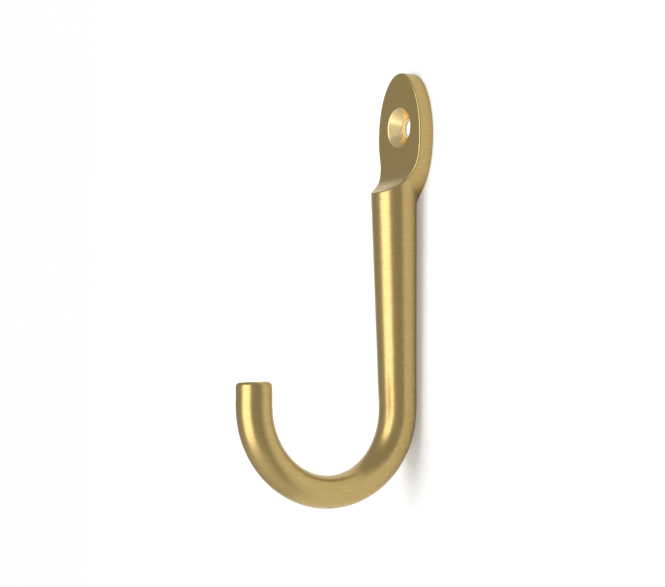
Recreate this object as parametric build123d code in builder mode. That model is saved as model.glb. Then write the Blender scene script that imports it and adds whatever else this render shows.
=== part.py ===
from build123d import *
import math
import os

# Wall coat hook: an oval screw plate that runs into a tapered bar bent to a J.
# Units are millimetres. The wall is the plane Y = 0, the hook stands off it toward -Y,
# +Z is up, and the axis of the screw hole is the line X = 0, Z = 0.

os.makedirs("parts", exist_ok=True)

# Screw hole, for one countersunk wood screw of 4.5 mm or less
bore_diameter = 4.6
sink_diameter = 9.3
sink_angle = 90.0

# Oval plate
plate_half_width = 8.67
plate_half_height = 14.6
plate_centre_z = -2.0
plate_thickness = 3.5
front_round = 0.35

# Oval boss round the bar's top that the scoop is cut into
boss_beyond_bar = 1.95
neck_round = 2.2

# Scoop that hollows the front of the bar up to the plate's face
scoop_radius = 8.7
scoop_drop = 4.9
scoop_reach = 20.0
ridge_round = 0.5

# Bar: half depth away from the wall along its length, half width along X from the ratio
bar_top_z = -5.0
bend_start_z = -64.0
width_ratio = 1.11
top_half_depth = 5.25
bend_half_depth = 4.14
low_half_depth = 3.72
end_half_depth = 3.95

# Sizes that follow from the ones above
boss_depth = top_half_depth + boss_beyond_bar
scoop_start_z = plate_centre_z - scoop_drop

# The bar's back starts this far behind the wall plane, where the split trims it flush
bar_flush = 0.12

# J bend of the bar's centre line
bend_radius = 18.86
bend_over = -2.0
tip_straight = 6.0
tip_round = 1.0

# Centre line in the X = 0 plane: straight shank, circular bend, short straight tip
shank_run = bar_top_z - bend_start_z
lean = math.degrees(math.atan2(top_half_depth - bend_half_depth, shank_run))
bend_angle = 180.0 + bend_over + lean
with BuildLine(Plane.YZ) as centre_line:
    shank_line = Line((bar_flush - top_half_depth, bar_top_z), (bar_flush - bend_half_depth, bend_start_z))
    bend_line = JernArc(start=shank_line @ 1, tangent=shank_line % 1, radius=bend_radius, arc_size=-bend_angle)
    tip_line = Line(bend_line @ 1, bend_line @ 1 + (bend_line % 1) * tip_straight)

# Stations evenly spaced along the centre line, each with its half depth
path = centre_line.wire()
bend_from = shank_line.length / path.length
bend_to = bend_from + bend_line.length / path.length
station_count = 26
stations = [i / (station_count - 1) for i in range(station_count)]


def half_depth_at(u):
    """Half depth of the bar at the fraction u of the centre line's length."""
    if u <= bend_from:
        return top_half_depth + (bend_half_depth - top_half_depth) * u / bend_from
    turn = min((u - bend_from) / (bend_to - bend_from), 1.0)
    swell = (1 + math.cos(2 * math.pi * turn)) / 2
    side = bend_half_depth if turn < 0.5 else end_half_depth
    return low_half_depth + (side - low_half_depth) * swell


def oval_rim(half_depth):
    """Twelve points round the bar's oval section, in the section's own plane."""
    angles = [math.radians(30 * i) for i in range(12)]
    return [(half_depth * width_ratio * math.cos(a), half_depth * math.sin(a)) for a in angles]


def on_front(edge):
    """True where an edge lies on the scoop or on the plate's front face."""
    for t in (0.0, 0.5, 1.0):
        spot = edge @ t
        from_axis = math.hypot(spot.Y + plate_thickness + scoop_radius, spot.Z - scoop_start_z)
        if abs(from_axis - scoop_radius) > 0.02 and abs(spot.Y + plate_thickness) > 0.01:
            return False
    return edge.geom_type != GeomType.LINE


with BuildPart() as hook:
    # Tapered J bar with a softened tip
    for u in stations:
        with BuildSketch(Plane(origin=path @ u, x_dir=(1, 0, 0), z_dir=path % u)):
            with BuildLine():
                Spline(*oval_rim(half_depth_at(u)), periodic=True)
            make_face()
    loft()
    tip_face = hook.faces().filter_by(GeomType.PLANE).sort_by(Axis.Y)[0]
    fillet(tip_face.edges(), tip_round)

    # Oval boss fused round the bar's top, then everything behind the wall plane removed
    with BuildSketch(Plane.XZ):
        with Locations((0, plate_centre_z)):
            Ellipse(plate_half_width, plate_half_height)
    extrude(amount=boss_depth)
    split(bisect_by=Plane.XZ, keep=Keep.TOP)

    # Neck: the boss's side wall flows into the bar's flanks
    plate_low_z = plate_centre_z - plate_half_height
    neck_high_z = plate_centre_z - 0.68 * plate_half_height
    neck = [edge for edge in hook.edges().filter_by(GeomType.BSPLINE)
            if plate_low_z - 0.1 * neck_round < edge.bounding_box().min.Z
            and edge.bounding_box().max.Z < neck_high_z and edge.center().Y < -bar_flush]
    fillet(neck, neck_round)

    # Scoop: the plate's front face, then a hollow that turns out to the ridge of the bar
    scoop_low = scoop_start_z - scoop_radius
    scoop_mid = (-plate_thickness - scoop_radius * (1 - math.sqrt(0.5)),
                 scoop_start_z - scoop_radius * math.sqrt(0.5))
    with BuildSketch(Plane.YZ):
        with BuildLine():
            Polyline((-plate_thickness, scoop_start_z), (-plate_thickness, scoop_reach),
                     (-scoop_reach, scoop_reach), (-scoop_reach, scoop_low),
                     (-plate_thickness - scoop_radius, scoop_low))
            ThreePointArc((-plate_thickness - scoop_radius, scoop_low), scoop_mid,
                          (-plate_thickness, scoop_start_z))
        make_face()
    extrude(amount=2 * plate_half_width, both=True, mode=Mode.SUBTRACT)

    # Ridge of the scoop rounded first, then the plate's front edge and its two short corners
    ridge = [edge for edge in hook.edges()
             if on_front(edge) and edge.length > top_half_depth
             and edge.center().Z < scoop_start_z - 0.8 * scoop_radius]
    fillet(ridge, ridge_round)
    front_edges = [edge for edge in hook.edges()
                   if on_front(edge) and edge.length > 0.4 * plate_thickness
                   and (edge.length < top_half_depth or edge.center().Z > scoop_start_z - 0.6 * scoop_radius)]
    fillet(front_edges, front_round)

    # Countersunk screw hole
    with Locations(Plane(origin=(0, -plate_thickness, 0), x_dir=(1, 0, 0), z_dir=(0, -1, 0))):
        CounterSinkHole(bore_diameter / 2, sink_diameter / 2, counter_sink_angle=sink_angle)

hook.part.label = "hook"
export_step(hook.part, "parts/hook.step")
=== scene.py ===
import math

import bmesh
import bpy
from bpy.props import FloatProperty, FloatVectorProperty, PointerProperty
from mathutils import Matrix, Vector

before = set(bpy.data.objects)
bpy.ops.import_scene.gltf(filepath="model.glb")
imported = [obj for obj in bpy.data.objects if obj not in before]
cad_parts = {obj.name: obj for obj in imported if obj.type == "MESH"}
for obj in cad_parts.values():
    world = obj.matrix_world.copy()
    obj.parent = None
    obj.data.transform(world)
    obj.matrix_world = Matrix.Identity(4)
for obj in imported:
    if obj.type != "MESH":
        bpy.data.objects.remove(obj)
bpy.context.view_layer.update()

bl_info = {
    "name": "Satin Brass Coat Hook",
    "version": (1, 0, 0),
    "blender": (4, 2, 0),
    "location": "View3D > Sidebar > Coat Hook",
    "description": "Dresses a packed coat hook in satin brass and sets it on a white wall",
    "category": "Object",
}

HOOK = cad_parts["hook"]
MM = 0.001

# The countersink's rim lies between these two distances from the screw hole's axis, X = 0, Z = 0
COUNTERSINK_RADIUS = 4.62 * MM
RIM_RADIUS = 5.1 * MM

# What lies within this distance of the wall plane is the hook's back, not its countersink
BACK_MARGIN = 0.02 * MM

# Oval of the wall that the plate covers, open round the bore, through which the wall shows
COVERED_CENTRE_Z = -2.0 * MM
COVERED_HALF_WIDTH = 8.1 * MM
COVERED_HALF_HEIGHT = 14.0 * MM
OPEN_RADIUS = 2.8 * MM

# Patch of the bar's side where the mesh points crowd
SEAM_LOW = Vector((3.9, -4.5, -66.5)) * MM
SEAM_HIGH = Vector((5.4, -3.7, -53.6)) * MM
SEAM_MERGE = 0.6 * MM

# Distances between the grains, the drifts and the turning marks of the brass
GRIT_SPACING = 0.3 * MM
DRIFT_SPACING = 12 * MM
RING_SPACING = 0.3 * MM

# Scale of a wave texture whose rings lie one unit apart
WAVE_SCALE = 0.314

# Wall and floor, in metres: the wall is narrow, so the brass mirrors more grey than white
FLOOR_Z = -0.45
SURFACE_HALF = 1.5
WALL_WIDTH_FACTOR = 0.11
WALL_GAP = 0.1 * MM

# Glow of the paint to the eye and in reflections, and of the world to the rest and to the eye
PAINT_GLOW = 0.24
PAINT_GLOW_MIRRORED = 0.05
WORLD_STRENGTH = 0.44
WORLD_STRENGTH_SEEN = 1.0
LAMP_TARGET = Vector((0, -0.015, -0.04))

# The photograph is 665 picture elements wide, and the hook's origin lies off its centre.
# The last value moves the aim down a little on the hook itself.
PICTURE_WIDTH = 665
SENSOR_WIDTH = 36.0
ORIGIN_RIGHT_OF_CENTRE = 79.1
ORIGIN_ABOVE_CENTRE = 163.5
AIM_SHIFT_Z = -0.28 * MM


def linear(hex_colour):
    """Linear red, green, blue and full alpha for an sRGB hex colour."""
    values = [int(hex_colour[i:i + 2], 16) / 255 for i in (1, 3, 5)]
    return [v / 12.92 if v <= 0.04045 else ((v + 0.055) / 1.055) ** 2.4 for v in values] + [1.0]


def add_node(tree, kind, settings=None, links=None):
    """Adds a shader node, sets its properties and input values, and links its inputs."""
    node = tree.nodes.new(kind)
    for name, value in (settings or {}).items():
        if name in node.inputs.keys() or isinstance(name, int):
            node.inputs[name].default_value = value
        else:
            setattr(node, name, value)
    for name, socket in (links or {}).items():
        tree.links.new(socket, node.inputs[name])
    return node


def empty_material(name):
    """A fresh node material with only its output node, and that node."""
    material = bpy.data.materials.new(name)
    material.use_nodes = True
    material.node_tree.nodes.clear()
    return material, add_node(material.node_tree, "ShaderNodeOutputMaterial")


def distance_from_axis(tree, place):
    """Length of a place's X and Z parts, its distance from the Y axis."""
    flat = add_node(tree, "ShaderNodeVectorMath", {"operation": "MULTIPLY", 1: (1, 0, 1)}, {0: place})
    length = add_node(tree, "ShaderNodeVectorMath", {"operation": "LENGTH"}, {0: flat.outputs["Vector"]})
    return length.outputs["Value"]


def view_axes(azimuth, elevation):
    """Right, up and backward directions of a view from an azimuth and elevation, in radians."""
    right = Vector((math.cos(azimuth), math.sin(azimuth), 0))
    up = Vector((-math.sin(azimuth) * math.sin(elevation), math.cos(azimuth) * math.sin(elevation),
                 math.cos(elevation)))
    back = Vector((math.sin(azimuth) * math.cos(elevation), -math.cos(azimuth) * math.cos(elevation),
                   math.sin(elevation)))
    return right, up, back


class BrassFinishSettings(bpy.types.PropertyGroup):
    """Colour and brushing of the brass."""

    colour: FloatVectorProperty(
        name="Brass Colour", description="Pale satin brass under its clear lacquer",
        subtype="COLOR", size=4, min=0.0, max=1.0, default=linear("#C3AA71"))
    shade_colour: FloatVectorProperty(
        name="Brush Line Colour", description="Brass in the low parts of the brushing",
        subtype="COLOR", size=4, min=0.0, max=1.0, default=linear("#B69D64"))
    # Lighter cut brass of the countersink, made brighter still as a painted highlight on its cone
    cut_and_highlight_colour: FloatVectorProperty(
        name="Countersink Colour", description="Brighter brass where the countersink was cut",
        subtype="COLOR", size=4, min=0.0, max=1.0, default=linear("#EFD79B"))
    roughness: FloatProperty(
        name="Satin Roughness", description="How far the brushing spreads reflections",
        default=0.3, min=0.05, max=1.0, subtype="FACTOR")
    brush_line: FloatProperty(
        name="Brush Line Width", description="Width of one line of the brushing",
        default=0.00028, min=0.00002, subtype="DISTANCE", unit="LENGTH", precision=6)
    brush_length: FloatProperty(
        name="Brush Line Length", description="Length of one line of the brushing",
        default=0.003, min=0.0001, subtype="DISTANCE", unit="LENGTH", precision=5)
    broken_edge: FloatProperty(
        name="Broken Edge", description="Radius of the countersink's rim where the brush has softened it",
        default=0.0004, min=0.0, subtype="DISTANCE", unit="LENGTH", precision=5)
    brush_depth: FloatProperty(
        name="Brush Line Depth", description="Depth of the brushing",
        default=0.000004, min=0.0, subtype="DISTANCE", unit="LENGTH", precision=6)


class StudioSettings(bpy.types.PropertyGroup):
    """Paint of the wall and floor, and the camera."""

    wall_colour: FloatVectorProperty(
        name="Wall Colour", description="Matt white paint of the wall and floor",
        subtype="COLOR", size=4, min=0.0, max=1.0, default=linear("#F2F2F2"))
    camera_azimuth: FloatProperty(
        name="Camera Azimuth", description="Turn of the camera from straight in front toward +X",
        default=math.radians(58.0), subtype="ANGLE", unit="ROTATION")
    camera_elevation: FloatProperty(
        name="Camera Elevation", description="Height angle of the camera's line of sight",
        default=math.radians(-4.0), subtype="ANGLE", unit="ROTATION")
    camera_distance: FloatProperty(
        name="Camera Distance", description="Distance from the camera to the hook's wall line",
        default=0.575, min=0.1, subtype="DISTANCE", unit="LENGTH")
    pixel_size: FloatProperty(
        name="Picture Scale", description="Size on the hook that one picture element covers",
        default=0.00023, min=0.00001, subtype="DISTANCE", unit="LENGTH", precision=6)


class COATHOOK_OT_finish_brass(bpy.types.Operator):
    """Gives the hook its satin brushed brass"""

    bl_idname = "coathook.finish_brass"
    bl_label = "Finish Brass"

    def execute(self, context):
        HOOK.data.materials.clear()
        HOOK.data.materials.append(self.satin_brass(context.scene.coathook_brass))
        self.relax_side_seam()
        return {"FINISHED"}

    def satin_brass(self, settings):
        """Solid brass, belt brushed to a satin and lacquered, with a countersink cut afterwards."""
        # The brushing runs level round the bar: soft streaked highlights, no mirror images.
        # Real lines are about 0.05 mm wide, too fine to show, so they are drawn at 0.28 mm.
        material, output = empty_material("solid brass, satin brushed")
        tree = material.node_tree
        place = add_node(tree, "ShaderNodeTexCoord").outputs["Object"]
        line, length = 1 / settings.brush_line, 1 / settings.brush_length
        level = add_node(tree, "ShaderNodeMapping", {"Scale": (length, length, line)}, {"Vector": place})
        brushing = add_node(tree, "ShaderNodeTexNoise", {"Scale": 1.0, "Detail": 3.0, "Roughness": 0.6},
                            {"Vector": level.outputs[0]})
        # Even grit left by the belt before the brushing
        grit = add_node(tree, "ShaderNodeTexNoise",
                        {"Scale": 1 / GRIT_SPACING, "Detail": 2.0, "Roughness": 0.55}, {"Vector": place})
        # Slow drift of the hand held brushing
        drift = add_node(tree, "ShaderNodeTexNoise", {"Scale": 1 / DRIFT_SPACING, "Detail": 1.0},
                         {"Vector": place})
        grain = add_node(tree, "ShaderNodeMix", {"data_type": "FLOAT", "Factor": 0.45},
                         {"A": brushing.outputs["Fac"], "B": grit.outputs["Fac"]})
        tone = add_node(tree, "ShaderNodeMapRange", {"From Min": 0.35, "From Max": 0.62},
                        {"Value": grain.outputs["Result"]})
        brass = add_node(tree, "ShaderNodeMix",
                         {"data_type": "RGBA", 6: settings.shade_colour, 7: settings.colour},
                         {"Factor": tone.outputs["Result"]})
        # The countersink's cone is cut metal, found by its distance from the screw hole's axis; its lighter
        # colour is partly real cut brass and partly a painted highlight
        radius = distance_from_axis(tree, place)
        near_axis = add_node(tree, "ShaderNodeMath", {"operation": "LESS_THAN", 1: COUNTERSINK_RADIUS},
                             {0: radius})
        depth = add_node(tree, "ShaderNodeSeparateXYZ", None, {"Vector": place})
        off_back = add_node(tree, "ShaderNodeMath", {"operation": "LESS_THAN", 1: -BACK_MARGIN},
                            {0: depth.outputs["Y"]})
        cut = add_node(tree, "ShaderNodeMath", {"operation": "MULTIPLY"},
                       {0: near_axis.outputs[0], 1: off_back.outputs[0]})
        # Lighter cut brass on the cone, brightened further as a painted highlight
        colour = add_node(tree, "ShaderNodeMix", {"data_type": "RGBA", 7: settings.cut_and_highlight_colour},
                          {"Factor": cut.outputs[0], 6: brass.outputs[2]})
        # Turning marks of the countersink
        rings = add_node(tree, "ShaderNodeTexWave",
                         {"wave_type": "RINGS", "rings_direction": "Y", "Scale": WAVE_SCALE / RING_SPACING},
                         {"Vector": place})
        relief = add_node(tree, "ShaderNodeMix", {"data_type": "FLOAT"},
                          {"Factor": cut.outputs[0], "A": grain.outputs["Result"], "B": rings.outputs["Fac"]})
        spread = add_node(tree, "ShaderNodeMath", {"operation": "ADD"},
                          {0: tone.outputs["Result"], 1: drift.outputs["Fac"]})
        rough = add_node(tree, "ShaderNodeMapRange", {
            "From Min": 0.4, "From Max": 1.6,
            "To Min": settings.roughness + 0.04, "To Max": settings.roughness - 0.03,
        }, {"Value": spread.outputs[0]})
        # The brush breaks the countersink's rim to a small round
        near_rim = add_node(tree, "ShaderNodeMath", {"operation": "LESS_THAN", 1: RIM_RADIUS}, {0: radius})
        plain = add_node(tree, "ShaderNodeNewGeometry")
        broken = add_node(tree, "ShaderNodeBevel", {"samples": 16, "Radius": settings.broken_edge})
        normal = add_node(tree, "ShaderNodeMix", {"data_type": "VECTOR"},
                          {"Factor": near_rim.outputs[0], 4: plain.outputs["Normal"], 5: broken.outputs[0]})
        bump = add_node(tree, "ShaderNodeBump", {"Strength": 1.0, "Distance": settings.brush_depth},
                        {"Height": relief.outputs["Result"], "Normal": normal.outputs[1]})
        shader = add_node(tree, "ShaderNodeBsdfPrincipled", {"Metallic": 1.0}, {
            "Base Color": colour.outputs[2], "Roughness": rough.outputs["Result"], "Normal": bump.outputs[0]})
        tree.links.new(shader.outputs["BSDF"], output.inputs["Surface"])
        return material

    def relax_side_seam(self):
        """Merges crowded mesh points on the bar's side, above its bend, which shade as dark specks."""
        crowded = [v.index for v in HOOK.data.vertices
                   if all(SEAM_LOW[i] < v.co[i] < SEAM_HIGH[i] for i in range(3))]
        patch = HOOK.vertex_groups.new(name="side seam")
        patch.add(crowded, 1.0, "REPLACE")
        weld = HOOK.modifiers.new("side seam weld", "WELD")
        weld.merge_threshold = SEAM_MERGE
        weld.vertex_group = patch.name
        shade = HOOK.modifiers.new("side seam shading", "WEIGHTED_NORMAL")
        shade.keep_sharp = False
        shade.vertex_group = patch.name


class COATHOOK_OT_build_studio(bpy.types.Operator):
    """Builds the wall, the floor, the lamp, the world and the camera"""

    bl_idname = "coathook.build_studio"
    bl_label = "Build Studio"

    def execute(self, context):
        settings = context.scene.coathook_studio
        scene = context.scene
        paint = self.wall_paint(settings)
        self.surface(scene, paint, "wall", width=WALL_WIDTH_FACTOR, upright=True,
                     centre=(0, WALL_GAP, SURFACE_HALF + FLOOR_Z))
        self.surface(scene, paint, "floor", width=1.0, upright=False,
                     centre=(0, -SURFACE_HALF, FLOOR_Z))
        self.world(scene)
        self.soft_box(scene, "front soft box", azimuth=-1, elevation=-8, distance=0.7,
                      width=0.62, height=1.4, power=6.4)
        self.camera(scene, settings)
        scene.view_settings.view_transform = "Standard"
        return {"FINISHED"}

    def wall_paint(self, settings):
        """Matt white wall paint that shows white to the eye and in the brass, and keeps shadows."""
        material, output = empty_material("matt white wall paint")
        tree = material.node_tree
        rays = add_node(tree, "ShaderNodeLightPath")
        paint = add_node(tree, "ShaderNodeBsdfDiffuse", {"Color": settings.wall_colour})
        mirrored = add_node(tree, "ShaderNodeMath", {"operation": "MAXIMUM"},
                            {0: rays.outputs["Is Glossy Ray"], 1: rays.outputs["Is Transmission Ray"]})
        faint = add_node(tree, "ShaderNodeMath", {"operation": "MULTIPLY", 1: PAINT_GLOW_MIRRORED},
                         {0: mirrored.outputs[0]})
        strength = add_node(tree, "ShaderNodeMath", {"operation": "MULTIPLY_ADD", 1: PAINT_GLOW},
                            {0: rays.outputs["Is Camera Ray"], 2: faint.outputs[0]})
        glow = add_node(tree, "ShaderNodeEmission", None, {"Strength": strength.outputs[0]})
        both = add_node(tree, "ShaderNodeAddShader", None, {0: paint.outputs[0], 1: glow.outputs[0]})
        # Seen from behind, and in the patch that the plate covers, the paint is clear,
        # so that the hook's back is lit and shows from the rear
        side = add_node(tree, "ShaderNodeNewGeometry")
        clear_part = add_node(tree, "ShaderNodeMath", {"operation": "MAXIMUM"},
                              {0: side.outputs["Backfacing"], 1: self.covered(tree)})
        clear = add_node(tree, "ShaderNodeBsdfTransparent")
        one_sided = add_node(tree, "ShaderNodeMixShader", None,
                             {0: clear_part.outputs[0], 1: both.outputs[0], 2: clear.outputs[0]})
        tree.links.new(one_sided.outputs[0], output.inputs["Surface"])
        return material

    def covered(self, tree):
        """1 where the plate lies on the wall, half a millimetre in from its rim and round its bore."""
        place = add_node(tree, "ShaderNodeTexCoord").outputs["Object"]
        oval = add_node(tree, "ShaderNodeMapping", {
            "vector_type": "TEXTURE", "Location": (0, 0, COVERED_CENTRE_Z),
            "Scale": (COVERED_HALF_WIDTH, 1.0, COVERED_HALF_HEIGHT),
        }, {"Vector": place})
        inside = add_node(tree, "ShaderNodeMath", {"operation": "LESS_THAN", 1: 1.0},
                          {0: distance_from_axis(tree, oval.outputs["Vector"])})
        off_bore = add_node(tree, "ShaderNodeMath", {"operation": "GREATER_THAN", 1: OPEN_RADIUS},
                            {0: distance_from_axis(tree, place)})
        both = add_node(tree, "ShaderNodeMath", {"operation": "MULTIPLY"},
                        {0: inside.outputs[0], 1: off_bore.outputs[0]})
        return both.outputs[0]

    def surface(self, scene, paint, name, width, upright, centre):
        """A painted plane, level or upright and facing the room, as stage round the hook."""
        mesh = bpy.data.meshes.new(name)
        bm = bmesh.new()
        bmesh.ops.create_grid(bm, x_segments=1, y_segments=1, size=SURFACE_HALF)
        bmesh.ops.scale(bm, verts=bm.verts, vec=(width, 1, 1))
        if upright:
            turn = Matrix.Rotation(math.radians(90), 3, "X")
            bmesh.ops.rotate(bm, verts=bm.verts, cent=(0, 0, 0), matrix=turn)
        bmesh.ops.translate(bm, verts=bm.verts, vec=centre)
        bm.to_mesh(mesh)
        bm.free()
        plane = bpy.data.objects.new(name, mesh)
        plane.data.materials.append(paint)
        scene.collection.objects.link(plane)

    def world(self, scene):
        """White behind everything to the eye, and an even grey studio to everything else."""
        world = bpy.data.worlds.new("studio")
        scene.world = world
        world.use_nodes = True
        tree = world.node_tree
        tree.nodes.clear()
        output = add_node(tree, "ShaderNodeOutputWorld")
        rays = add_node(tree, "ShaderNodeLightPath")
        strength = add_node(tree, "ShaderNodeMapRange",
                            {"To Min": WORLD_STRENGTH, "To Max": WORLD_STRENGTH_SEEN},
                            {"Value": rays.outputs["Is Camera Ray"]})
        sky = add_node(tree, "ShaderNodeBackground", {"Color": (1, 1, 1, 1)},
                       {"Strength": strength.outputs[0]})
        tree.links.new(sky.outputs[0], output.inputs["Surface"])

    def soft_box(self, scene, name, azimuth, elevation, distance, width, height, power):
        """A rectangular soft box aimed at the hook."""
        lamp = bpy.data.lights.new(name, "AREA")
        lamp.shape = "RECTANGLE"
        lamp.size, lamp.size_y, lamp.energy = width, height, power
        box = bpy.data.objects.new(name, lamp)
        away = view_axes(math.radians(azimuth), math.radians(elevation))[2]
        box.location = LAMP_TARGET + away * distance
        box.rotation_euler = away.to_track_quat("Z", "Y").to_euler()
        scene.collection.objects.link(box)

    def camera(self, scene, settings):
        """The camera at the photograph's angle, with the hook where the photograph has it."""
        right, up, back = view_axes(settings.camera_azimuth, settings.camera_elevation)
        scale = settings.pixel_size
        lens = bpy.data.cameras.new("camera")
        lens.sensor_width = SENSOR_WIDTH
        lens.lens = SENSOR_WIDTH * settings.camera_distance / (PICTURE_WIDTH * scale)
        lens.clip_start, lens.clip_end = 0.01, 20.0
        camera = bpy.data.objects.new("camera", lens)
        start = Vector((0, 0, AIM_SHIFT_Z))
        aim = start - right * (ORIGIN_RIGHT_OF_CENTRE * scale) - up * (ORIGIN_ABOVE_CENTRE * scale)
        turn = Matrix((right, up, back)).transposed().to_4x4()
        camera.matrix_world = Matrix.Translation(aim + back * settings.camera_distance) @ turn
        scene.collection.objects.link(camera)
        scene.camera = camera


class COATHOOK_PT_panel(bpy.types.Panel):
    """Sidebar panel with the hook's finish and its studio"""

    bl_idname = "COATHOOK_PT_panel"
    bl_label = "Coat Hook"
    bl_space_type = "VIEW_3D"
    bl_region_type = "UI"
    bl_category = "Coat Hook"

    def draw(self, context):
        layout = self.layout
        for group, operator in (("coathook_brass", "coathook.finish_brass"),
                                ("coathook_studio", "coathook.build_studio")):
            settings = getattr(context.scene, group)
            column = layout.column()
            for name in settings.bl_rna.properties.keys():
                if name not in {"rna_type", "name"}:
                    column.prop(settings, name)
            column.operator(operator)


CLASSES = (
    BrassFinishSettings,
    StudioSettings,
    COATHOOK_OT_finish_brass,
    COATHOOK_OT_build_studio,
    COATHOOK_PT_panel,
)


def register():
    for cls in CLASSES:
        bpy.utils.register_class(cls)
    bpy.types.Scene.coathook_brass = PointerProperty(type=BrassFinishSettings)
    bpy.types.Scene.coathook_studio = PointerProperty(type=StudioSettings)


def unregister():
    del bpy.types.Scene.coathook_studio
    del bpy.types.Scene.coathook_brass
    for cls in reversed(CLASSES):
        bpy.utils.unregister_class(cls)


def main():
    register()
    bpy.ops.coathook.finish_brass()
    bpy.ops.coathook.build_studio()


if __name__ == "__main__":
    main()
